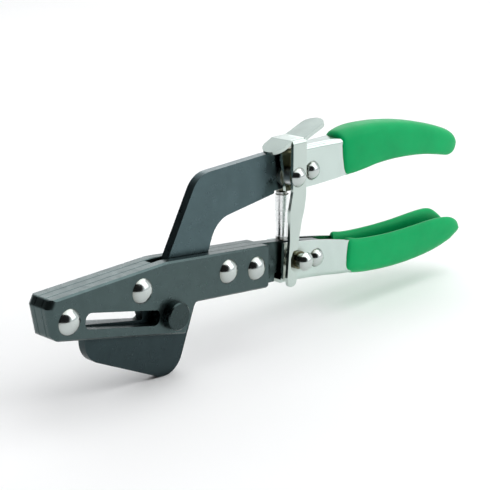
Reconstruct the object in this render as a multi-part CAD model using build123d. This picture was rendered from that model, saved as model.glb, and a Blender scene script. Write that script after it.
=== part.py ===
from build123d import *
import math
import os

# Double-cut hand nibbler: a blade on the end of a lever rises between two cheeks.
# Millimetres. Origin on the main pivot's axis, in the middle of the plate stack.
# +X towards the handles, +Z up, -Y is the latch side.

# Plate stack
CHEEK = 4.8
GAP = 4.4
LEVER = 4.0
HALF_GAP = GAP / 2
HALF_STACK = HALF_GAP + CHEEK
HALF_LEVER = LEVER / 2
EDGE_BEVEL = 0.8
SEAM_BREAK = 0.3

# Main pivot
PIVOT_R = 6.0
PIVOT_STANDS_OUT = 4.0
PIVOT_CLEARANCE = 0.04
BUSH_R = 7.5
WASHER_R = 9.0
WASHER_T = 0.55
WASHER_RECESS = 0.4
WASHER_POCKET_PLAY = 0.2
PIVOT_BEVEL = 0.5

# Rivets with domed heads
BODY_SHANK_R = 3.0
BODY_HEAD_R = 5.4
BODY_HEAD_H = 2.95
HANDLE_SHANK_R = 2.5
HANDLE_HEAD_R = 4.4
HANDLE_HEAD_H = 3.0
LATCH_SIDE_HEAD_H = 2.7
NOSE_RIVETS = ((-54.5, 11.0), (-16.7, 14.3))
REAR_RIVETS = ((32.9, 11.1), (50.6, 8.4))

# Outline shared by the cheeks
NOSE_TOP = (-62.4, 21.4)
NOSE_BROW = (-64.3, 18.0)
NOSE_CHIN = (-62.0, 4.8)
NOSE_ROUND = 3.0
REAR_X = 59.0
TOP_KINK = (-3.2, 23.4)
TOP_REAR_Z = 17.2
BOTTOM_REAR_Z = -2.5
LOBE_ROOT = (13.6, 2.0)
LOBE_TIP = (7.6, -10.5)
WINDOW_LENGTH = 40.0
WINDOW_HEIGHT = 6.6
WINDOW_MIDDLE = (-27.1, 4.95)
WINDOW_TILT = -12.6
WINDOW_CORNER = 2.6

# Handles: pressed channels of sheet steel
SHEET = 1.5
WALL = 5.3
HANDLE_FRONT_X = 67.9
HANDLE_FLARE_X = 99.5
GRIP_START_X = 112.5
GRIP_END_X = 208.7
GRIP_HALF_WIDTH = 7.9
CHANNEL_HALF_WIDTH = 6.3
UPPER_RIVET = (89.2, 45.6)
LOWER_RIVET = (92.9, 3.6)
LATCH_PIVOT = (73.7, 46.0)
CATCH = (79.0, 5.9)
CATCH_NECK_R = 3.4
CATCH_COLLAR_R = 4.2
CATCH_COLLAR_T = 1.8
CATCH_HEAD_CLEARANCE = 0.4
SPACER_R = 5.0
TANG_END_X = 99.0

# Latch
LATCH_OUTER_Y = -10.7
LATCH_FAR_Y = 2.0
LATCH_TOP_Z = 63.0
LATCH_LEFT_X = 70.1
LATCH_RIGHT_X = 78.9
RELEASE_TAB_TILT = 20.0
RELEASE_TAB_LENGTH = 17.0
STOP_TAB_TILT = -24.0
STOP_TAB_LENGTH = 10.5
LATCH_LEG_TOP_Z = LATCH_TOP_Z - 4.0
LATCH_SLEEVE_R = 4.2
LATCH_END_PLAY = 0.1
LATCH_BORE_PLAY = 0.05

# Volute spring between the tangs
SPRING_X = 74.4
SPRING_BOTTOM_Z = 17.0
SPRING_TOP_Z = 36.6
SPRING_TIERS = ((3.3, 0.33), (3.0, 0.67), (2.6, 1.0))
SEAT_R = 2.6
SEAT_STEM_R = 1.2
SEAT_T = 1.3
LOWER_STEM_Z = 10.0
UPPER_STEM_Z = 42.0

# Side views of the steel channels and of the grips over their rear length, front to rear
UPPER_TOP = (
    (68.3, 57.9), (90, 57.6), (113, 57.3), (132, 57.5),
    (155, 55.5), (180, 50.6), (195, 46.8),
)
UPPER_BOTTOM = (
    (71.3, 39.2), (90, 38.6), (113, 39.9), (130, 42.2),
    (155, 42.9), (180, 41.2), (195, 38.9),
)
LOWER_TOP = ((70.6, 15.1), (90, 12.4), (113, 7.9), (130, 4.4), (155, 2.0), (180, 1.6), (195, -0.4))
LOWER_BOTTOM = (
    (69.9, -3.7), (90, -5.8), (113, -9.0), (130, -11.1),
    (155, -13.2), (180, -12.6), (195, -10.2),
)
UPPER_GRIP_TOP = ((112.5, 59.0), (122, 60.8), (142.5, 60.3), (160, 58.0), (180, 53.6), (195, 49.0))
UPPER_GRIP_BOTTOM = (
    (112.5, 38.9), (127, 40.0), (141, 41.0), (154, 40.9),
    (172, 39.2), (188, 36.4), (198, 35.0),
)
UPPER_GRIP_END = (203.4, 40.8)
LOWER_GRIP_TOP = (
    (112.5, 8.4), (128, 6.0), (144.5, 4.7), (163, 4.2),
    (182, 4.2), (198, 2.2), (205.8, -0.7),
)
LOWER_GRIP_BOTTOM = (
    (112.5, -9.6), (129, -12.6), (147.5, -14.5), (166.5, -15.0),
    (184, -14.1), (198, -11.8), (205.8, -9.0),
)
LOWER_GRIP_END = (208.7, -4.9)
BEND_R = 2.2
OPEN_DEPTH = 9.0
LINING = 1.2
VALLEY_HALF_WIDTH = 3.5
GRIP_EDGE_R = 2.5
GRIP_SWEEP_MIN = 100.0
TALL = 160.0


def outline(points, radii):
    """A closed face in X and Z, with one corner radius for each point."""
    return make_face(Plane.XZ * FilletPolyline(*points, radius=radii, close=True))


def plate(face, y_low, y_high):
    """The face, given thickness from y_low to y_high."""
    return Pos(0, y_low, 0) * extrude(face, amount=y_high - y_low, dir=(0, 1, 0))


def rod(place, radius, y_low, y_high):
    """A cylinder along Y at place, which is an X and a Z."""
    turn = Rot(90, 0, 0) * Cylinder(radius, y_high - y_low)
    return Pos(place[0], (y_low + y_high) / 2, place[1]) * turn


def head_arc(radius, height, y_face, side):
    """Half the profile of a domed head on y_face, from its rim to its pole, towards side."""
    ball_r = (radius**2 + height**2) / (2 * height)
    half_angle = math.asin(radius / ball_r) / 2
    middle_up = ball_r * math.cos(half_angle) - ball_r + height
    middle = (ball_r * math.sin(half_angle), y_face + side * middle_up)
    return ThreePointArc((radius, y_face), middle, (0, y_face + side * height))


def rivet(place, shank_r, head_r, near, far):
    """A shank with a domed head on each end, turned in one piece.
    near and far are the Y of the face under the head and the head's height."""
    sides = Polyline((head_r, near[0]), (shank_r, near[0]), (shank_r, far[0]), (head_r, far[0]))
    core = Line((0, near[0] - near[1]), (0, far[0] + far[1]))
    heads = [head_arc(head_r, near[1], near[0], -1), head_arc(head_r, far[1], far[0], 1)]
    profile = make_face(Curve() + [*heads, sides, core])
    return Pos(place[0], 0, place[1]) * revolve(profile, Axis.Y)


def group(solids):
    return Compound(children=[s.solid() for s in solids])


def save(part, node):
    export_step(part, f"parts/{node}.step")


def top_z(x):
    """Height of the cheeks' top edge behind the kink."""
    share = (x - TOP_KINK[0]) / (REAR_X - TOP_KINK[0])
    return TOP_KINK[1] + share * (TOP_REAR_Z - TOP_KINK[1])


def bottom_z(x):
    """Height of the cheeks' bottom edge behind the lobe."""
    share = (x - LOBE_ROOT[0]) / (REAR_X - LOBE_ROOT[0])
    return LOBE_ROOT[1] + share * (BOTTOM_REAR_Z - LOBE_ROOT[1])


def nose_top_z(x):
    """Height of the top edge between the nose and the kink."""
    share = (x - NOSE_TOP[0]) / (TOP_KINK[0] - NOSE_TOP[0])
    return NOSE_TOP[1] + share * (TOP_KINK[1] - NOSE_TOP[1])


def nose_bottom_z(x):
    """Height of the bearing edge under the nose, where the sheet lies."""
    share = (x - NOSE_CHIN[0]) / (LOBE_TIP[0] - NOSE_CHIN[0])
    return NOSE_CHIN[1] + share * (LOBE_TIP[1] - NOSE_CHIN[1])


def nose_corner(side, low, high):
    """What is ground off the nose's outer corner to round it along one run of its front."""
    run = Vector(high[0] - low[0], 0, high[1] - low[1])
    corner = Rectangle(2 * NOSE_ROUND, 2 * NOSE_ROUND)
    corner -= Pos(NOSE_ROUND, -side * NOSE_ROUND, 0) * Circle(NOSE_ROUND)
    overrun = 5 * run
    start = Vector(low[0], side * HALF_STACK, low[1]) - overrun
    return extrude(Pos(*start) * corner, amount=run.length + 2 * overrun.length, dir=run.normalized())


def break_edges(part, y, size):
    """A bevel round the outline of the face that lies at y."""
    face = part.faces().filter_by(Axis.Y).filter_by_position(Axis.Y, y - 0.01, y + 0.01)[0]
    return chamfer(face.outer_wire().edges(), size)


def cheek(side):
    points = [
        NOSE_BROW,
        NOSE_TOP,
        TOP_KINK,
        (REAR_X, TOP_REAR_Z),
        (REAR_X, BOTTOM_REAR_Z),
        LOBE_ROOT,
        LOBE_TIP,
        NOSE_CHIN,
    ]
    radii = [1.4, 1.4, 20.0, 0.8, 1.6, 2.0, 1.6, 3.5]
    y_low, y_high = sorted((side * HALF_GAP, side * HALF_STACK))
    part = plate(outline(points, radii), y_low, y_high)
    part = break_edges(part, side * HALF_STACK, EDGE_BEVEL)
    part = break_edges(part, side * HALF_GAP, SEAM_BREAK)
    part -= nose_corner(side, NOSE_CHIN, NOSE_BROW)
    part -= nose_corner(side, NOSE_BROW, NOSE_TOP)
    window = RectangleRounded(WINDOW_LENGTH, WINDOW_HEIGHT, WINDOW_CORNER)
    tilted = Pos(WINDOW_MIDDLE[0], 0, WINDOW_MIDDLE[1]) * Rot(0, -WINDOW_TILT, 0) * (Plane.XZ * window)
    part -= plate(tilted, y_low, y_high)
    for place in NOSE_RIVETS + REAR_RIVETS:
        part -= rod(place, BODY_SHANK_R, y_low, y_high)
    return part - rod((0, 0), PIVOT_R, y_low, y_high)


def nose_spacer():
    """Fills the stack over the window and round the nose; its slot end is the strip's way out."""
    window_top = WINDOW_MIDDLE[1] + WINDOW_HEIGHT / 2 / math.cos(math.radians(WINDOW_TILT))
    fall = math.tan(math.radians(WINDOW_TILT))
    slot_x = -7.1
    inner_x = -47.4
    root_x = -10.9
    points = [
        NOSE_BROW,
        NOSE_TOP,
        (slot_x, nose_top_z(slot_x)),
        (root_x, window_top + fall * (root_x - WINDOW_MIDDLE[0])),
        (inner_x, window_top + fall * (inner_x - WINDOW_MIDDLE[0])),
        (inner_x, nose_bottom_z(inner_x)),
        NOSE_CHIN,
    ]
    part = plate(outline(points, [1.4, 1.4, 0.5, 0.6, 1.5, 0.5, 3.5]), -HALF_GAP, HALF_GAP)
    for side in (-1, 1):
        part = break_edges(part, side * HALF_GAP, SEAM_BREAK)
    for place in NOSE_RIVETS:
        part -= rod(place, BODY_SHANK_R, -HALF_GAP, HALF_GAP)
    return part


def rear_centre_plate():
    """Spacer behind the lever, running back as the lower handle's tang."""
    clear_x = 0.55
    low_x = 18.3 + clear_x
    high_x = 25.3 + clear_x
    points = [
        (high_x, top_z(high_x)),
        (REAR_X, TOP_REAR_Z),
        (66.5, 16.2),
        (75.0, 14.9),
        (TANG_END_X, 10.4),
        (TANG_END_X, -3.4),
        (HANDLE_FRONT_X - 0.6, 1.4),
        (HANDLE_FRONT_X - 0.6, -2.7),
        (REAR_X - 1.0, -1.9),
        (low_x, bottom_z(low_x)),
    ]
    radii = [0.5, 0, 0, 0, 1.0, 2.0, 1.0, 0.5, 0, 0.5]
    part = plate(outline(points, radii), -HALF_GAP, HALF_GAP)
    for place in REAR_RIVETS:
        part -= rod(place, BODY_SHANK_R, -HALF_GAP, HALF_GAP)
    for place in (CATCH, LOWER_RIVET):
        part -= rod(place, HANDLE_SHANK_R, -HALF_GAP, HALF_GAP)
    return part


def pivot_pin():
    reach = HALF_STACK + PIVOT_STANDS_OUT
    pin = rod((0, 0), PIVOT_R, -reach, reach)
    ends = [pin.faces().sort_by(Axis.Y)[0], pin.faces().sort_by(Axis.Y)[-1]]
    return chamfer([e for face in ends for e in face.edges()], PIVOT_BEVEL)


def pivot_bush():
    ring = rod((0, 0), BUSH_R, -HALF_LEVER + WASHER_RECESS, HALF_LEVER - WASHER_RECESS)
    return ring - rod((0, 0), PIVOT_R + PIVOT_CLEARANCE, -HALF_LEVER, HALF_LEVER)


def pivot_washers():
    rings = []
    for side in (-1, 1):
        inner = side * (HALF_LEVER - WASHER_RECESS)
        y_low, y_high = sorted((inner, inner + side * WASHER_T))
        ring = rod((0, 0), WASHER_R, y_low, y_high)
        rings.append(ring - rod((0, 0), PIVOT_R + PIVOT_CLEARANCE, y_low, y_high))
    return group(rings)


def cutting_lever():
    """Blade below and in front of the pivot, arm above and behind it, tang in the upper handle."""
    tooth_x = -12.7
    tooth_z = 3.4
    step_x = HANDLE_FRONT_X - 0.7
    points = [
        (-46.5, 6.4),
        (tooth_x, -0.15),
        (tooth_x, tooth_z),
        (-8.6, tooth_z),
        (20.4, 55.0),
        (step_x, 57.3),
        (step_x, 55.6),
        (TANG_END_X, 55.0),
        (TANG_END_X, 40.4),
        (step_x, 39.6),
        (step_x, 38.4),
        (30.7, 33.4),
        (4.9, -32.2),
        (-43.4, -9.1),
        (-43.4, 1.2),
        (-46.5, 3.4),
    ]
    radii = [0.3, 0.6, 0.3, 0.5, 12.0, 0.3, 0.6, 2.0, 2.0, 0.4, 0.6, 13.0, 10.5, 10.5, 0, 0]
    part = plate(outline(points, radii), -HALF_LEVER, HALF_LEVER)
    part -= rod((0, 0), BUSH_R, -HALF_LEVER, HALF_LEVER)
    for side in (-1, 1):
        inner = side * (HALF_LEVER - WASHER_RECESS)
        y_low, y_high = sorted((inner, side * HALF_LEVER))
        part -= rod((0, 0), WASHER_R + WASHER_POCKET_PLAY, y_low, y_high)
    for place in (LATCH_PIVOT, UPPER_RIVET):
        part -= rod(place, HANDLE_SHANK_R, -HALF_LEVER, HALF_LEVER)
    return part


def handle_plan(inset):
    """Plan of a channel: parallel at the front, then flaring out to the grip."""
    narrow = WALL - inset
    wide = CHANNEL_HALF_WIDTH - inset
    end_x = GRIP_END_X + 10.0
    points = [
        (HANDLE_FRONT_X, -narrow),
        (HANDLE_FLARE_X, -narrow),
        (GRIP_START_X, -wide),
        (end_x, -wide),
        (end_x, wide),
        (GRIP_START_X, wide),
        (HANDLE_FLARE_X, narrow),
        (HANDLE_FRONT_X, narrow),
    ]
    radii = [0, 60.0, 60.0, 0, 0, 60.0, 60.0, 0]
    return make_face(FilletPolyline(*points, radius=radii, close=True))


def side_face(top, bottom, end=None):
    """Side view between two smooth curves, rounded through end or else cut off square."""
    if end is None:
        lines = Curve() + [Spline(*top), Line(top[-1], bottom[-1]), Spline(*bottom)]
    else:
        lines = Curve() + [Spline(*top, end, *reversed(bottom))]
    lines += Line(bottom[0], top[0])
    return make_face(Plane.XZ * lines)


def raised(points, rise):
    return [(x, z + rise) for x, z in points]


def curve_z(points, x):
    """Height at x on straight lines between the points."""
    for (x0, z0), (x1, z1) in zip(points, points[1:]):
        if x0 <= x <= x1:
            return z0 + (z1 - z0) * (x - x0) / (x1 - x0)
    return points[-1][1]


def side_by_plan(side, plan):
    """The solid that has both this side view and this plan."""
    tall = Pos(0, 0, -TALL / 2) * extrude(plan, amount=TALL, dir=(0, 0, 1))
    return plate(side, -TALL / 8, TALL / 8) & tall


def long_edges(part, curve):
    """Edges that run along the handle beside this curve of its side view."""
    found = []
    for edge in part.edges():
        middle = edge.position_at(0.5)
        along = abs(edge.tangent_at(0.5).X) > 0.8
        if along and abs(middle.Z - curve_z(curve, middle.X)) < 3.0:
            found.append(edge)
    return found


def hollow(top, bottom, web_side, depth, half_width):
    """The space inside a channel, starting at this depth below the outside of its web."""
    opened = -web_side * OPEN_DEPTH
    inner_top = raised(top, -depth if web_side > 0 else opened)
    inner_bottom = raised(bottom, opened if web_side > 0 else depth)
    return plate(side_face(inner_top, inner_bottom), -half_width, half_width)


def channel(top, bottom, web_side, pins):
    """A pressed channel. web_side is 1 where the web is on top, -1 where it is underneath."""
    body = side_by_plan(side_face(top, bottom), handle_plan(0))
    body = fillet(long_edges(body, top if web_side > 0 else bottom), BEND_R)
    inside = hollow(top, bottom, web_side, SHEET, CHANNEL_HALF_WIDTH)
    tall = Pos(0, 0, -TALL / 2) * extrude(handle_plan(SHEET), amount=TALL, dir=(0, 0, 1))
    body -= inside & tall
    for place in pins:
        body -= rod(place, HANDLE_SHANK_R, -WALL, WALL)
    return body


def grip(top, bottom, end, steel_top, steel_bottom, steel, web_side):
    """Dipped plastic over the rear of a steel channel, leaving the channel's valley open."""
    body = plate(side_face(top, bottom, end), -GRIP_HALF_WIDTH, GRIP_HALF_WIDTH)
    sweeps = [edge for edge in body.edges() if edge.length > GRIP_SWEEP_MIN]
    body = fillet(sweeps, GRIP_EDGE_R)
    body -= hollow(steel_top, steel_bottom, web_side, SHEET + LINING, VALLEY_HALF_WIDTH)
    return body - steel


def handle_pin(place, near_base):
    """A pin through a handle, standing out to a domed head on the latch side."""
    near = (near_base, LATCH_SIDE_HEAD_H)
    return rivet(place, HANDLE_SHANK_R, HANDLE_HEAD_R, near, (WALL, HANDLE_HEAD_H))


def catch_pin():
    near_base = LATCH_OUTER_Y - CATCH_HEAD_CLEARANCE
    neck = rod(CATCH, CATCH_NECK_R, near_base, -WALL)
    collar = rod(CATCH, CATCH_COLLAR_R, -WALL - CATCH_COLLAR_T, -WALL)
    return handle_pin(CATCH, near_base) + neck + collar


def latch_spacer():
    sleeve = rod(LATCH_PIVOT, LATCH_SLEEVE_R, LATCH_OUTER_Y + SHEET + LATCH_END_PLAY, -WALL)
    return sleeve - rod(LATCH_PIVOT, HANDLE_SHANK_R, LATCH_OUTER_Y, -WALL)


def tang_spacers(places, half_tang):
    """Washers that fill a channel on both sides of the tang, round each pin."""
    rings = []
    for place in places:
        for side in (-1, 1):
            y_low, y_high = sorted((side * half_tang, side * (WALL - SHEET)))
            ring = rod(place, SPACER_R, y_low, y_high)
            rings.append(ring - rod(place, HANDLE_SHANK_R, y_low, y_high))
    return group(rings)


def latch_leg():
    """The leg beside the handles, with the hook's notch open to the rear."""
    points = [
        (LATCH_LEFT_X, LATCH_LEG_TOP_Z),
        (LATCH_LEFT_X, 39.5),
        (68.3, 31.0),
        (68.3, 17.0),
        (66.9, 0.5),
        (67.6, -3.9),
        (72.6, -3.9),
        (73.4, 1.2),
        (69.0, 4.6),
        (69.0, 9.4),
        (70.6, 12.6),
        (73.7, 12.7),
        (74.3, 17.0),
        (76.1, 25.6),
        (77.8, 30.5),
        (LATCH_RIGHT_X, 37.0),
        (LATCH_RIGHT_X, LATCH_LEG_TOP_Z),
    ]
    radii = [0, 6.0, 8.0, 20.0, 2.0, 2.2, 2.4, 1.6, 2.0, 2.0, 0.8, 0.6, 6.0, 20.0, 12.0, 8.0, 0]
    return plate(outline(points, radii), LATCH_OUTER_Y, LATCH_OUTER_Y + SHEET)


def latch_bridge():
    """The bend over the top of the handle, from the leg to the two tabs."""
    low_z = LATCH_LEG_TOP_Z - 1.0
    points = [
        (LATCH_OUTER_Y, low_z),
        (LATCH_OUTER_Y, LATCH_TOP_Z),
        (LATCH_FAR_Y, LATCH_TOP_Z),
        (LATCH_FAR_Y, LATCH_TOP_Z - SHEET),
        (LATCH_OUTER_Y + SHEET, LATCH_TOP_Z - SHEET),
        (LATCH_OUTER_Y + SHEET, low_z),
    ]
    radii = [0, BEND_R, 0, 0, BEND_R - SHEET, 0]
    face = make_face(Plane.YZ * FilletPolyline(*points, radius=radii, close=True))
    width = LATCH_RIGHT_X - LATCH_LEFT_X
    return Pos(LATCH_LEFT_X, 0, 0) * extrude(face, amount=width, dir=(1, 0, 0))


def latch_tab(fold_x, side, length, tilt):
    """A tab bent off the bridge's edge at fold_x, towards side."""
    near_y = LATCH_OUTER_Y + 0.8
    width = LATCH_FAR_Y - near_y
    middle_y = (near_y + LATCH_FAR_Y) / 2
    end_r = width / 2 - 0.1
    slab = Pos(length / 2, 0, 0) * Box(length, width, SHEET)
    tip = slab.edges().filter_by(Axis.Z).group_by(Axis.X)[-1]
    slab = fillet(tip, end_r)
    turned = Rot(0, -tilt, 0) * slab
    if side < 0:
        turned = Rot(0, 0, 180) * turned
    fold = Pos(fold_x, middle_y, LATCH_TOP_Z - SHEET / 2)
    return fold * turned + rod((fold_x, LATCH_TOP_Z - SHEET / 2), SHEET / 2, near_y, LATCH_FAR_Y)


def latch_plate():
    part = latch_leg() + latch_bridge()
    part += latch_tab(LATCH_RIGHT_X, 1, RELEASE_TAB_LENGTH, RELEASE_TAB_TILT)
    part += latch_tab(LATCH_LEFT_X, -1, STOP_TAB_LENGTH, STOP_TAB_TILT)
    bore_r = HANDLE_SHANK_R + LATCH_BORE_PLAY
    return part - rod(LATCH_PIVOT, bore_r, LATCH_OUTER_Y, LATCH_OUTER_Y + SHEET)


def upright(radius, z_from, z_to):
    """A round upright on the spring's centre line."""
    return Pos(SPRING_X, 0, (z_from + z_to) / 2) * Cylinder(radius, abs(z_to - z_from))


def spring_seat(back_z, face_z, stem_end):
    """A disc that the spring bears on, with a stem into the tang."""
    return upright(SEAT_STEM_R, stem_end, back_z) + upright(SEAT_R, back_z, face_z)


def volute_spring():
    """Envelope of the strip coils, which telescope: wide coils on top, narrow ones below."""
    height = SPRING_TOP_Z - SPRING_BOTTOM_Z
    spring = None
    for radius, depth in SPRING_TIERS:
        tier = upright(radius, SPRING_TOP_Z - height * depth, SPRING_TOP_Z)
        spring = tier if spring is None else spring + tier
    return spring


if __name__ == "__main__":
    os.makedirs("parts", exist_ok=True)
    save(cheek(-1), "near_cheek")
    save(cheek(1), "far_cheek")
    save(nose_spacer(), "nose_spacer")
    save(pivot_pin(), "pivot_pin")
    save(pivot_bush(), "pivot_bush")
    save(pivot_washers(), "pivot_washers")
    body_size = (BODY_SHANK_R, BODY_HEAD_R, (-HALF_STACK, BODY_HEAD_H), (HALF_STACK, BODY_HEAD_H))
    save(group([rivet(place, *body_size) for place in NOSE_RIVETS]), "nose_rivets")
    save(group([rivet(place, *body_size) for place in REAR_RIVETS]), "rear_rivets")

    lower_stem = upright(SEAT_STEM_R, LOWER_STEM_Z, SPRING_BOTTOM_Z)
    upper_stem = upright(SEAT_STEM_R, SPRING_TOP_Z, UPPER_STEM_Z)
    save(rear_centre_plate() - lower_stem, "rear_centre_plate")
    save(cutting_lever() - upper_stem, "cutting_lever")
    save(spring_seat(SPRING_BOTTOM_Z - SEAT_T, SPRING_BOTTOM_Z, LOWER_STEM_Z), "lower_spring_seat")
    save(spring_seat(SPRING_TOP_Z + SEAT_T, SPRING_TOP_Z, UPPER_STEM_Z), "upper_spring_seat")
    save(volute_spring(), "volute_spring")

    upper = channel(UPPER_TOP, UPPER_BOTTOM, 1, (LATCH_PIVOT, UPPER_RIVET))
    lower = channel(LOWER_TOP, LOWER_BOTTOM, -1, (CATCH, LOWER_RIVET))
    save(upper, "upper_handle")
    save(lower, "lower_handle")
    upper_side = (UPPER_GRIP_TOP, UPPER_GRIP_BOTTOM, UPPER_GRIP_END)
    lower_side = (LOWER_GRIP_TOP, LOWER_GRIP_BOTTOM, LOWER_GRIP_END)
    save(grip(*upper_side, UPPER_TOP, UPPER_BOTTOM, upper, 1), "upper_grip")
    save(grip(*lower_side, LOWER_TOP, LOWER_BOTTOM, lower, -1), "lower_grip")

    handle_size = (HANDLE_SHANK_R, HANDLE_HEAD_R, (-WALL, HANDLE_HEAD_H), (WALL, HANDLE_HEAD_H))
    save(rivet(UPPER_RIVET, *handle_size), "upper_handle_rivet")
    save(rivet(LOWER_RIVET, *handle_size), "lower_handle_rivet")
    save(tang_spacers((LATCH_PIVOT, UPPER_RIVET), HALF_LEVER), "upper_tang_spacers")
    save(tang_spacers((CATCH, LOWER_RIVET), HALF_GAP), "lower_tang_spacers")
    save(handle_pin(LATCH_PIVOT, LATCH_OUTER_Y - LATCH_END_PLAY), "latch_pivot_pin")
    save(latch_spacer(), "latch_spacer")
    save(catch_pin(), "catch_pin")
    save(latch_plate(), "latch_plate")
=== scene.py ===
import bmesh
import bpy
import math
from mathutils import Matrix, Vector


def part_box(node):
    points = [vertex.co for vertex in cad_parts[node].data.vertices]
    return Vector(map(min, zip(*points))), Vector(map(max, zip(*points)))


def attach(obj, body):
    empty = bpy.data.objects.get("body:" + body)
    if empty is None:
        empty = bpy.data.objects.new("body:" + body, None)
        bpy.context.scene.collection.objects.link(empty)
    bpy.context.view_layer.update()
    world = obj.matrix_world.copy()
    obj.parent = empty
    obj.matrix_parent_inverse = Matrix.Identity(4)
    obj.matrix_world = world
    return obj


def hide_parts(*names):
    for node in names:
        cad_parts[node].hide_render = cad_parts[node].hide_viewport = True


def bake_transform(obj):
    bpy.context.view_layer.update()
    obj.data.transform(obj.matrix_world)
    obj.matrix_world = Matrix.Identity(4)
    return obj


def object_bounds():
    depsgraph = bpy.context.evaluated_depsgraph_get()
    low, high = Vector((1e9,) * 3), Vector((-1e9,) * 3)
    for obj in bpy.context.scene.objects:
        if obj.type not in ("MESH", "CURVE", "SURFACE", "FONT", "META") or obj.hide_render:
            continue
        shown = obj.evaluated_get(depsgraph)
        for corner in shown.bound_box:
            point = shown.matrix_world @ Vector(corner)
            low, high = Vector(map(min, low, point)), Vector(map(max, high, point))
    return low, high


# Hand nibbler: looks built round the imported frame. Metres, in the frame's own axes.
MM = 0.001

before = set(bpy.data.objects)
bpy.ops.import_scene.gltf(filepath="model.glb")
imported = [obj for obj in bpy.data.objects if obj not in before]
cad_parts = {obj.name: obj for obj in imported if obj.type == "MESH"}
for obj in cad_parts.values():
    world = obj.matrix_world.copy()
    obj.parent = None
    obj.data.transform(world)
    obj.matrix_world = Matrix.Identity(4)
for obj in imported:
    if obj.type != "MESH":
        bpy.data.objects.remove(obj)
cad_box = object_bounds()
lowest = min(corner[2] for corner in cad_box)


# ---------------------------------------------------------------- materials

NOISE_ROUGHNESS = 0.55
NOISE_LOW = 0.3  # nearly all of a noise lies between these two
NOISE_HIGH = 0.7
GAP_SAMPLES = 8


class Shader:
    """A Principled material whose colour, roughness and bump come from nodes."""

    def __init__(self, name, **sockets):
        self.material = bpy.data.materials.new(name)
        self.material.use_nodes = True
        self.tree = self.material.node_tree
        self.surface = self.tree.nodes["Principled BSDF"]
        for socket, value in sockets.items():
            self.surface.inputs[socket.replace("_", " ")].default_value = value
        self.place = self.tree.nodes.new("ShaderNodeTexCoord").outputs["Object"]

    def link(self, source, target):
        self.tree.links.new(source, target)

    def noise(self, scale, stretch=(1, 1, 1), detail=3.0):
        """Noise in the object's own space; scale is in cells per metre."""
        mapping = self.tree.nodes.new("ShaderNodeMapping")
        mapping.inputs["Scale"].default_value = stretch
        self.link(self.place, mapping.inputs["Vector"])
        node = self.tree.nodes.new("ShaderNodeTexNoise")
        node.inputs["Scale"].default_value = scale
        node.inputs["Detail"].default_value = detail
        node.inputs["Roughness"].default_value = NOISE_ROUGHNESS
        self.link(mapping.outputs["Vector"], node.inputs["Vector"])
        return node.outputs["Fac"]

    def spread(self, factor, low, high):
        """Maps a noise's middle range onto low..high."""
        node = self.tree.nodes.new("ShaderNodeMapRange")
        node.inputs["From Min"].default_value = NOISE_LOW
        node.inputs["From Max"].default_value = NOISE_HIGH
        node.inputs["To Min"].default_value = low
        node.inputs["To Max"].default_value = high
        self.link(factor, node.inputs["Value"])
        return node.outputs["Result"]

    def ramp(self, factor, *stops):
        """A colour ramp. Each stop is a position and a colour."""
        node = self.tree.nodes.new("ShaderNodeValToRGB")
        elements = node.color_ramp.elements
        while len(elements) < len(stops):
            elements.new(0.5)
        for element, (position, colour) in zip(elements, stops):
            element.position = position
            element.color = (*colour, 1.0)
        self.link(factor, node.inputs["Fac"])
        return node.outputs["Color"]

    def darker_below(self, colour, heights, amount):
        """Multiplies a colour by amount below the first height, fading to 1 at the second."""
        split = self.tree.nodes.new("ShaderNodeSeparateXYZ")
        self.link(self.place, split.inputs["Vector"])
        fade = self.tree.nodes.new("ShaderNodeMapRange")
        fade.inputs["From Min"].default_value, fade.inputs["From Max"].default_value = heights
        fade.inputs["To Min"].default_value = amount
        self.link(split.outputs["Z"], fade.inputs["Value"])
        scaled = self.tree.nodes.new("ShaderNodeVectorMath")
        scaled.operation = "SCALE"
        self.link(colour, scaled.inputs["Vector"])
        self.link(fade.outputs["Result"], scaled.inputs["Scale"])
        return scaled.outputs["Vector"]

    def colour(self, source):
        self.link(source, self.surface.inputs["Base Color"])

    def roughness(self, source):
        self.link(source, self.surface.inputs["Roughness"])

    def bump(self, height, distance, strength=1.0):
        """Adds a bump, on top of any that is there already."""
        node = self.tree.nodes.new("ShaderNodeBump")
        node.inputs["Distance"].default_value = distance
        node.inputs["Strength"].default_value = strength
        self.link(height, node.inputs["Height"])
        normal = self.surface.inputs["Normal"]
        if normal.is_linked:
            self.link(normal.links[0].from_socket, node.inputs["Normal"])
        self.link(node.outputs["Normal"], normal)


def with_gap_shade(shader, colour, shade_colour, reach, low=0.25, high=0.8):
    """The colour, fading to painted shade in gaps narrower than reach, where little light gets in.
    Below an openness of low it is all painted shade, above high all colour."""
    # Ambient occlusion darkens the colour in gaps: painted shade.
    near = shader.tree.nodes.new("ShaderNodeAmbientOcclusion")
    near.inputs["Distance"].default_value = reach
    near.samples = GAP_SAMPLES
    mix = shader.tree.nodes.new("ShaderNodeMix")
    mix.data_type = "RGBA"
    share = shader.tree.nodes.new("ShaderNodeMapRange")
    share.inputs["From Min"].default_value = low
    share.inputs["From Max"].default_value = high
    shader.link(near.outputs["AO"], share.inputs["Value"])
    shader.link(share.outputs["Result"], mix.inputs["Factor"])
    mix.inputs["A"].default_value = (*shade_colour, 1.0)
    shader.link(colour, mix.inputs["B"])
    return mix.outputs["Result"]


def tint(colour, amount):
    return tuple(min(1.0, c * amount) for c in colour)


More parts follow.
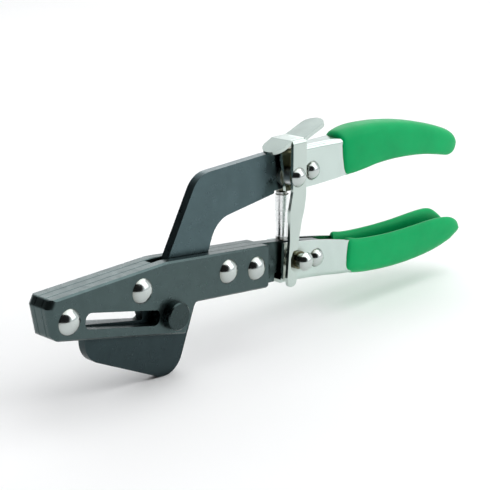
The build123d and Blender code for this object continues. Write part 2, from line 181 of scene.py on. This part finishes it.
def dark_steel(name, base, rough=0.3, grain=(1, 1, 1), low=None):
    """Ground plate under a thin dark oxide: fine grinding lines and a faint mottle.
    low is the heights in metres between which it turns darker downwards, painted shade on the lower
    blade."""
    shader = Shader(name, Metallic=1.0)
    mottle = shader.noise(140, detail=5.0)
    patchy = (NOISE_LOW, tint(base, 0.92)), (0.55, base), (0.75, tint(base, 1.08))
    oxide = shader.ramp(mottle, *patchy)
    # Painted shade: the colour darkens towards the bottom of the blade.
    if low:
        oxide = shader.darker_below(oxide, low, BLADE_SHADE)
    # Painted shade in gaps narrower than 5 mm.
    shader.colour(with_gap_shade(shader, oxide, tint(base, 0.1), reach=5 * MM))
    lines = shader.noise(1600, grain, detail=2.0)
    shader.roughness(shader.spread(shader.noise(300), rough - 0.05, rough + 0.07))
    shader.bump(lines, distance=0.02 * MM, strength=0.35)
    shader.bump(shader.noise(500), distance=0.03 * MM, strength=0.2)
    return shader.material


def bright_metal(name, base, rough, ripple=0.15, grain=(1, 1, 1), crevice=(0.35, 0.85)):
    """Plated or polished metal with faint smears and a slight waviness.
    crevice is the openness between which it goes from painted gap shade to its own colour."""
    shader = Shader(name, Metallic=1.0)
    smear = shader.noise(120, (1, 1, 0.4), detail=4.0)
    plate = shader.ramp(smear, (NOISE_LOW, tint(base, 0.93)), (NOISE_HIGH, base))
    low, high = crevice
    # Painted shade: narrow gaps on the bright metal are painted dark olive.
    shader.colour(with_gap_shade(shader, plate, GAP_SHADE_OLIVE, 7 * MM, low, high))
    shader.roughness(shader.spread(shader.noise(260, grain), rough * 0.75, rough * 1.35))
    shader.bump(shader.noise(140, detail=1.0), distance=0.1 * MM, strength=ripple)
    shader.bump(shader.noise(2200, grain, detail=2.0), distance=0.01 * MM, strength=0.25)
    return shader.material


def dipped_plastic(name, base):
    """Thick dip: semi-gloss, softly wavy, a little uneven in colour."""
    shader = Shader(name, Specular_IOR_Level=0.1)
    cloud = shader.noise(45, detail=3.0)
    body = shader.ramp(cloud, (NOISE_LOW, tint(base, 0.88)), (NOISE_HIGH, tint(base, 1.08)))
    # Painted shade: darker in the grip's valley and in gaps narrower than 12 mm.
    shader.colour(with_gap_shade(shader, body, tint(base, 0.4), 12 * MM, low=0.2, high=0.75))
    shader.roughness(shader.spread(shader.noise(220), 0.33, 0.45))
    shader.bump(shader.noise(110, detail=1.0), distance=0.3 * MM, strength=0.2)
    shader.bump(shader.noise(1500, detail=2.0), distance=0.03 * MM, strength=0.3)
    return shader.material


ALONG_X = (0.06, 1, 1)  # stretch that draws a noise out into lines along X
# Painted shade on the lever: darker towards the bottom of the blade, where it catches less light.
BLADE_SHADE = 0.45  # how dark the blade is beside the arm
BLADE_SHADE_HEIGHTS = (2 * MM, 20 * MM)
# Dark olive painted into narrow gaps on bright metal as painted shade.
GAP_SHADE_OLIVE = (0.10, 0.097, 0.055)
OXIDE = (0.068, 0.098, 0.098)
NICKEL = (0.54, 0.63, 0.595)
CHEEK = dark_steel("oxide_cheek", OXIDE, grain=ALONG_X)
CORE = dark_steel("oxide_core", tint(OXIDE, 1.05), grain=ALONG_X)
ARM = dark_steel("oxide_lever", (0.072, 0.110, 0.118), grain=ALONG_X, low=BLADE_SHADE_HEIGHTS)
PIN = dark_steel("oxide_pin", tint(OXIDE, 0.6), 0.28)
HANDLE = bright_metal("nickel_handle", NICKEL, 0.17, grain=ALONG_X)
LATCH = bright_metal("nickel_latch", (0.50, 0.575, 0.54), 0.2)
DOME = bright_metal("polished_rivet", (0.52, 0.565, 0.55), 0.13, 0.1, crevice=(0.62, 0.97))
SPACER = bright_metal("zinc_spacer", (0.62, 0.64, 0.64), 0.34)
SPRING = bright_metal("spring_strip", (0.88, 0.90, 0.90), 0.25, crevice=(0.0, 0.25))
BRONZE = bright_metal("bush_bronze", (0.60, 0.42, 0.18), 0.38)
GREEN = dipped_plastic("green_dip", (0.0, 0.385, 0.115))

FINISHES = {
    "near_cheek": CHEEK,
    "far_cheek": CHEEK,
    "nose_spacer": CORE,
    "rear_centre_plate": CORE,
    "cutting_lever": ARM,
    "pivot_pin": PIN,
    "pivot_bush": BRONZE,
    "pivot_washers": PIN,
    "nose_rivets": DOME,
    "rear_rivets": DOME,
    "upper_handle_rivet": DOME,
    "lower_handle_rivet": DOME,
    "latch_pivot_pin": DOME,
    "catch_pin": DOME,
    "upper_handle": HANDLE,
    "lower_handle": HANDLE,
    "latch_plate": LATCH,
    "latch_spacer": SPACER,
    "upper_tang_spacers": SPACER,
    "lower_tang_spacers": SPACER,
    "upper_spring_seat": SPACER,
    "lower_spring_seat": SPACER,
}

for node, finish in FINISHES.items():
    for material_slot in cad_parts[node].material_slots:
        material_slot.material = finish


# ---------------------------------------------------------------- mesh helpers

def new_piece(name, bm, finish):
    """Turns a bmesh into a smooth-shaded object with one finish."""
    bmesh.ops.recalc_face_normals(bm, faces=bm.faces[:])
    mesh = bpy.data.meshes.new(name)
    bm.to_mesh(mesh)
    bm.free()
    for polygon in mesh.polygons:
        polygon.use_smooth = True
    piece = bpy.data.objects.new(name, mesh)
    bpy.context.scene.collection.objects.link(piece)
    piece.data.materials.append(finish)
    return piece


def smooth_value(points, x):
    """A smooth curve through (x, value) points, read at x."""
    last = len(points) - 1
    i = max(0, min(last - 1, sum(1 for p in points if p[0] <= x) - 1))
    x1, v1 = points[i]
    x2, v2 = points[i + 1]
    x0, v0 = points[max(i - 1, 0)]
    x3, v3 = points[min(i + 2, last)]
    t = min(1.0, max(0.0, (x - x1) / (x2 - x1)))
    m1 = (v2 - v0) / (x2 - x0) * (x2 - x1)
    m2 = (v3 - v1) / (x3 - x1) * (x2 - x1)
    return (
        (2 * t**3 - 3 * t**2 + 1) * v1
        + (t**3 - 2 * t**2 + t) * m1
        + (3 * t**2 - 2 * t**3) * v2
        + (t**3 - t**2) * m2
    )


def skin(bm, rings):
    """Joins closed rings of vertices and closes both ends."""
    for ring, following in zip(rings, rings[1:]):
        for i in range(len(ring)):
            j = (i + 1) % len(ring)
            bm.faces.new((ring[i], ring[j], following[j], following[i]))
    bm.faces.new(rings[0])
    bm.faces.new(list(reversed(rings[-1])))


# ---------------------------------------------------------------- grips

GRIP_WALL = 4.5
WALL_MOST = 0.6  # of the half width, where the grip tapers
BACK_ROUND = 4.6
CROWN = 0.12
FLOOR_ROUND = 1.2
GRIP_RINGS = 44
RING_SPACING = 0.9  # below 1 there are fewer rings at the front
SLANT_REACH = 14.0
SIZES = ("half", "back", "near_lip", "far_lip", "depth")


def leg(half, back, lip, wall, depth):
    """Half of a U section, from the middle of its back, round the lip, to the valley's floor.
    These are control points of a subdivided surface, placed by shares of each round."""
    side = 1 if back > lip else -1
    rise = abs(back - lip)
    round_back = min(BACK_ROUND, half * 0.62, rise * 0.45)
    round_lip = min(wall * 0.5, rise * 0.3)
    inner = half - wall
    floor = lip + side * depth
    return [
        (0.0, back),
        (half - round_back, back - side * CROWN),
        (half - round_back * 0.3, back - side * round_back * 0.3),
        (half, back - side * round_back),
        (half + 0.05, (back + lip) / 2),
        (half - 0.1, lip + side * round_lip * 1.6),
        (half - round_lip * 0.35, lip + side * round_lip * 0.4),
        (half - wall / 2, lip),
        (inner + round_lip * 0.35, lip + side * round_lip * 0.4),
        (inner, lip + side * min(round_lip * 1.6, depth)),
        (inner, floor - side * min(FLOOR_ROUND, depth * 0.4)),
        (inner * 0.6, floor),
    ]


def u_section(half, back, near_lip, far_lip, wall, depth):
    """Closed outline of a U as (across, up). depth is the valley's, below the far lip."""
    far = leg(half, back, far_lip, wall, depth)
    near = leg(half, back, near_lip, wall, max(0.1, depth - abs(far_lip - near_lip)))
    return far + [(-across, up) for across, up in reversed(near[1:])]


def make_grip(name, curves, x_front, x_tip, slant, body, node):
    """Lofts a U section along X. curves holds (x, value) points in mm for each of its sizes.
    slant shifts the front edge, and fades out over SLANT_REACH."""
    bm = bmesh.new()
    rings = []
    for k in range(GRIP_RINGS + 1):
        reach = math.sin(k / GRIP_RINGS * math.pi / 2) ** RING_SPACING
        x = x_front + (x_tip - x_front) * reach
        half, back, near_lip, far_lip, depth = (smooth_value(curves[size], x) for size in SIZES)
        wall = min(GRIP_WALL, half * WALL_MOST)
        section = u_section(half, back, near_lip, far_lip, wall, depth)
        fade = max(0.0, 1.0 - (x - x_front) / SLANT_REACH)
        ring = []
        for across, up in section:
            shift = fade * slant(across, up)
            ring.append(bm.verts.new(((x + shift) * MM, across * MM, up * MM)))
        rings.append(ring)
    skin(bm, rings)
    piece = new_piece(name, bm, GREEN)
    smoother = piece.modifiers.new("smooth", "SUBSURF")
    smoother.levels = 2
    smoother.render_levels = 2
    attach(piece, body)
    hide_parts(node)


UPPER_LIP = [
    (108, 38.6), (111, 38.8), (114.9, 39.2), (118.7, 39.2), (127.2, 39.9), (138.6, 40.9),
    (154.1, 40.8), (172, 39.3), (186, 36.9), (194, 35.3), (198, 35.7), (201, 37.1), (202.8, 39.2),
    (203.4, 40.6),
]
UPPER = {
    "half": [
        (108, 6.6), (112, 7.3), (118, 7.7), (135, 7.9), (180, 7.9), (193, 7.7), (199, 6.9),
        (202, 5.3), (203.1, 3.5), (203.4, 1.2),
    ],
    "back": [
        (108, 58.7), (111, 59.5), (116, 60.7), (122, 61.4), (132, 61.3), (142.5, 60.6), (160, 58.2),
        (180, 53.7), (193.5, 49.6), (198, 47.6), (201, 45.5), (202.8, 43.4), (203.4, 42.0),
    ],
    "near_lip": UPPER_LIP,
    "far_lip": UPPER_LIP,
    "depth": [(108, 15), (178, 10), (187, 7), (194, 2.5), (198, 0.5), (203.4, 0.2)],
}
LOWER = {
    "half": [
        (108, 6.6), (112, 7.3), (118, 7.7), (135, 7.9), (180, 7.9), (198, 7.8), (204, 7.2),
        (207.2, 6.0), (208.4, 4.7), (208.7, 3.5),
    ],
    "back": [
        (108, -8.8), (111, -9.4), (118, -10.6), (129.4, -12.6), (147.7, -14.5), (166.7, -15.0),
        (184.3, -14.1), (198, -11.8), (203.5, -10.1), (206.9, -8.4), (208.4, -6.9), (208.7, -5.9),
    ],
    "near_lip": [
        (108, 9.0), (111, 8.9), (116.5, 7.9), (126.4, 6.3), (144.5, 4.7), (163.2, 4.2), (181, 4.2),
        (191, 3.6), (199.5, 2.0), (205, -0.6), (207.6, -2.9), (208.5, -4.2), (208.7, -5.0),
    ],
    "far_lip": [
        (108, 9.4), (111, 9.5), (116.5, 8.8), (126.4, 7.5), (144.5, 6.3), (163.2, 6.0), (181, 6.4),
        (190, 6.3), (196.5, 5.2), (202, 2.0), (206, -1.6), (208.3, -4.4), (208.7, -5.2),
    ],
    "depth": [(108, 11), (180, 12), (196, 11), (204, 7), (208, 2.4), (208.7, 0.5)],
}


UPPER_MIDDLE_Z = 48


def upper_slant(across, up):
    """Where the dip starts: its line leans back at the bottom and on the far side."""
    return 1.0 + 0.19 * across - 0.145 * (up - UPPER_MIDDLE_Z)


def lower_slant(across, up):
    """The same for the lower grip, whose line leans back at the top and on the far side."""
    return 4.2 + 0.1 * across + 0.1 * up


make_grip("upper_grip_dip", UPPER, 108.6, 203.35, upper_slant, "lever", "upper_grip")
make_grip("lower_grip_dip", LOWER, 109.2, 208.65, lower_slant, "body", "lower_grip")


# ---------------------------------------------------------------- volute spring

TURNS = 3
STEPS = 64  # of one turn
STRIP_HEIGHT = 7.4 * MM
STRIP_HALF = 0.1 * MM
INNER_R = 2.3
R_PER_TURN = 0.29
RISE_FROM = 0.72  # the share of a turn after which it rises to the next
START_ANGLE = math.radians(95)


def strip_level(turn):
    """How many turns high the strip is after this many turns along it."""
    done = min(int(turn), TURNS - 1)
    if turn >= TURNS - 1:
        return done
    lift = max(0.0, (turn - int(turn) - RISE_FROM) / (1 - RISE_FROM))
    return done + 3 * lift**2 - 2 * lift**3


def make_spring():
    """A flat strip wound in turns that stand round each other, each level but for a short rise."""
    low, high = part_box("volute_spring")
    centre_x = (low[0] + high[0]) / 2
    rise = (high[2] - low[2] - STRIP_HEIGHT) / (TURNS - 1)
    bm = bmesh.new()
    rings = []
    for k in range(TURNS * STEPS + 1):
        turn = k / STEPS
        radius = (INNER_R + R_PER_TURN * turn) * MM
        angle = START_ANGLE + (turn - int(turn)) * 2 * math.pi
        base = low[2] + rise * strip_level(turn)
        top = base + STRIP_HEIGHT
        inner, outer = radius - STRIP_HALF, radius + STRIP_HALF
        ring = []
        for r, z in ((inner, base), (outer, base), (outer, top), (inner, top)):
            ring.append(bm.verts.new((centre_x + r * math.cos(angle), r * math.sin(angle), z)))
        rings.append(ring)
    skin(bm, rings)
    piece = new_piece("volute_spring_strip", bm, SPRING)
    edge = piece.modifiers.new("edge", "BEVEL")
    edge.width = STRIP_HALF / 2
    edge.segments = 2
    edge.limit_method = "ANGLE"
    edge.harden_normals = True
    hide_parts("volute_spring")
    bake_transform(piece)


make_spring()


# ---------------------------------------------------------------- floor, light, camera

def add_world(level, patches):
    """Even white surroundings with dark patches, like cards round a product table. Each patch is
    a direction, the cosines to it where the patch starts and is full, and its level when full."""
    world = bpy.data.worlds.new("studio")
    bpy.context.scene.world = world
    world.use_nodes = True
    tree = world.node_tree
    place = tree.nodes.new("ShaderNodeTexCoord")
    background = tree.nodes["Background"]
    background.inputs["Color"].default_value = (0.97, 0.985, 1.0, 1)
    strength = None
    for direction, start, full, dark in patches:
        dot = tree.nodes.new("ShaderNodeVectorMath")
        dot.operation = "DOT_PRODUCT"
        dot.inputs[1].default_value = Vector(direction).normalized()
        tree.links.new(place.outputs["Generated"], dot.inputs[0])
        ramp = tree.nodes.new("ShaderNodeMapRange")
        ramp.interpolation_type = "SMOOTHSTEP"
        ramp.inputs["From Min"].default_value = start
        ramp.inputs["From Max"].default_value = full
        ramp.inputs["To Min"].default_value = level
        ramp.inputs["To Max"].default_value = dark
        tree.links.new(dot.outputs["Value"], ramp.inputs["Value"])
        if strength is not None:
            darker = tree.nodes.new("ShaderNodeMath")
            darker.operation = "MINIMUM"
            tree.links.new(strength, darker.inputs[0])
            tree.links.new(ramp.outputs["Result"], darker.inputs[1])
            strength = darker.outputs["Value"]
        else:
            strength = ramp.outputs["Result"]
    tree.links.new(strength, background.inputs["Strength"])


FLOOR_HALF = 6.0
FLOOR_SHADES = (0.94, 0.96)


def make_floor():
    bm = bmesh.new()
    bmesh.ops.create_grid(bm, x_segments=1, y_segments=1, size=FLOOR_HALF)
    floor = new_piece("floor", bm, None)
    floor.location = (0, 0, lowest)
    shader = Shader("pale_floor", Roughness=0.75)
    darker, lighter = ((shade, shade, shade) for shade in FLOOR_SHADES)
    shader.colour(shader.ramp(shader.noise(3), (NOISE_LOW, darker), (NOISE_HIGH, lighter)))
    floor.data.materials[0] = shader.material


def add_light(name, place, size, power):
    """A rectangular lamp that faces the middle of the tool. power is in watts."""
    data = bpy.data.lights.new(name, "AREA")
    data.shape = "RECTANGLE"
    data.size, data.size_y = size
    data.energy = power
    light = bpy.data.objects.new(name, data)
    bpy.context.scene.collection.objects.link(light)
    light.location = place
    light.rotation_euler = (AIM - Vector(place)).to_track_quat("-Z", "Y").to_euler()


AIM = Vector((0.07, 0, 0.02))
DARK_PATCHES = (
    ((-0.8, 0.1, 0.55), 0.2, 0.75, 0.02),
    ((-0.5, -0.75, 0.45), 0.62, 0.88, 0.02),
)

make_floor()
add_light("overhead", (0.5, -0.3, 1.9), (2.6, 2.6), 34)
add_light("front_right", (1.1, -1.3, 0.9), (1.4, 1.2), 7)
add_light("behind", (1.22, 1.18, 0.8), (1.4, 0.5), 3.2)
add_world(1.0, DARK_PATCHES)
bpy.context.scene.view_settings.view_transform = "Standard"

VIEW = Vector((0.695, 0.659, -0.287))
camera_data = bpy.data.cameras.new("camera")
camera_data.sensor_width = 36.0
camera_data.lens = 96.83
camera = bpy.data.objects.new("camera", camera_data)
bpy.context.scene.collection.objects.link(camera)
camera.location = (-0.35306, -0.38266, 0.18438)
camera.rotation_euler = VIEW.to_track_quat("-Z", "Y").to_euler()
camera_data.clip_start = 0.01
bpy.context.scene.camera = camera
